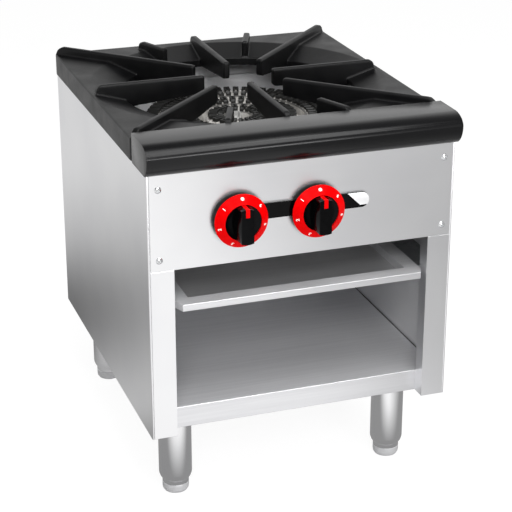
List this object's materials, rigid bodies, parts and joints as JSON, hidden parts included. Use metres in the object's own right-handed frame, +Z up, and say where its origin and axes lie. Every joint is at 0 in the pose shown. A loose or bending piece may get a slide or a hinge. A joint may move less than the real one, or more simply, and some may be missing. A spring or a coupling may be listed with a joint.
{
  "type": "single burner gas stove",
  "caption": "Low steel gas range on round legs with a ribbed iron top over a ring burner, turning knobs, a sliding drip tray and an open shelf.",
  "frame": {"origin": "middle of the bounding box in X and Y, on the floor under the feet", "axes": "+Z up; -Y towards the front with the knobs; +X to the right as seen from the front"},
  "size_m": [0.463, 0.5896, 0.581],
  "materials": {
    "stainless": "brushed stainless sheet",
    "black_iron": "black cast iron",
    "grey_iron": "bare grey cast iron",
    "black_enamel": "satin black coat",
    "red_plastic": "red moulded plastic",
    "black_plastic": "black moulded plastic",
    "black_gloss": "gloss black",
    "chrome": "bright chrome",
    "brass": "machined brass",
    "black_pipe": "black steel pipe",
    "galvanised": "zinc-coated sheet",
    "aluminium": "drawn tube",
    "screw_steel": "bright screw"
  },
  "bodies": {
    "cabinet": {"side_panel_left": "stainless", "side_panel_right": "stainless", "front_post_left": "stainless", "front_post_right": "stainless", "back_panel": "stainless", "back_screws": "screw_steel", "bottom_shelf": "stainless", "heat_baffle": "galvanised", "control_panel": "stainless", "panel_screws": "screw_steel", "front_rail": "black_enamel", "tray_runner_left": "galvanised", "tray_runner_right": "galvanised", "burner_channel_front": "galvanised", "burner_channel_rear": "galvanised", "burner_plate": "galvanised", "outer_burner": "grey_iron", "inner_burner": "grey_iron", "orifice_left": "brass", "orifice_right": "brass", "valve_left": "brass", "valve_right": "brass", "manifold_pipe": "black_pipe", "manifold_cap": "black_pipe", "pipe_elbow": "black_pipe", "supply_pipe": "black_pipe", "pilot_valve": "brass", "pilot_tube": "aluminium", "pilot_burner": "stainless", "dial_left": "red_plastic", "dial_right": "red_plastic", "name_bar": "black_gloss", "name_bar_tip": "chrome", "leg_plates": "galvanised", "leg_front_left": "stainless", "leg_front_right": "stainless", "leg_back_left": "stainless", "leg_back_right": "stainless"},
    "knob_left": {"knob_left": "black_plastic", "valve_stem_left": "brass"},
    "knob_right": {"knob_right": "black_plastic", "valve_stem_right": "brass"},
    "tray": {"drip_tray": "stainless"},
    "grate": {"top_grate": "black_iron"},
    "shutter_outer": {"outer_air_shutter": "galvanised"},
    "shutter_inner": {"inner_air_shutter": "galvanised"},
    "foot_front_left": {"foot_front_left": "stainless"},
    "foot_front_right": {"foot_front_right": "stainless"},
    "foot_back_left": {"foot_back_left": "stainless"},
    "foot_back_right": {"foot_back_right": "stainless"}
  },
  "joints": [
    {"name": "knob_left_turn", "type": "hinge", "parent": "cabinet", "child": "knob_left", "pos_m": [-0.097, -0.27625, 0.4585], "axis": [0, -1, 0], "range_deg": [0, 308.6]},
    {"name": "knob_right_turn", "type": "hinge", "parent": "cabinet", "child": "knob_right", "pos_m": [0.017, -0.27625, 0.4585], "axis": [0, -1, 0], "range_deg": [0, 308.6]},
    {"name": "tray_slide", "type": "slide", "parent": "cabinet", "child": "tray", "axis": [0, -1, 0], "range_m": [0, 0.4]},
    {"name": "grate_lift", "type": "slide", "parent": "cabinet", "child": "grate", "axis": [0, 0, 1], "range_m": [0, 0.12]},
    {"name": "outer_shutter_turn", "type": "hinge", "parent": "cabinet", "child": "shutter_outer", "pos_m": [-0.097, -0.17025, 0.4585], "axis": [0, -1, 0], "range_deg": [0, 45]},
    {"name": "inner_shutter_turn", "type": "hinge", "parent": "cabinet", "child": "shutter_inner", "pos_m": [0.017, -0.17025, 0.4585], "axis": [0, -1, 0], "range_deg": [0, 45]},
    {"name": "foot_front_left_screw", "type": "slide", "parent": "cabinet", "child": "foot_front_left", "axis": [0, 0, -1], "range_m": [0, 0.02]},
    {"name": "foot_front_right_screw", "type": "slide", "parent": "cabinet", "child": "foot_front_right", "axis": [0, 0, -1], "range_m": [0, 0.02]},
    {"name": "foot_back_left_screw", "type": "slide", "parent": "cabinet", "child": "foot_back_left", "axis": [0, 0, -1], "range_m": [0, 0.02]},
    {"name": "foot_back_right_screw", "type": "slide", "parent": "cabinet", "child": "foot_back_right", "axis": [0, 0, -1], "range_m": [0, 0.02]}
  ]
}
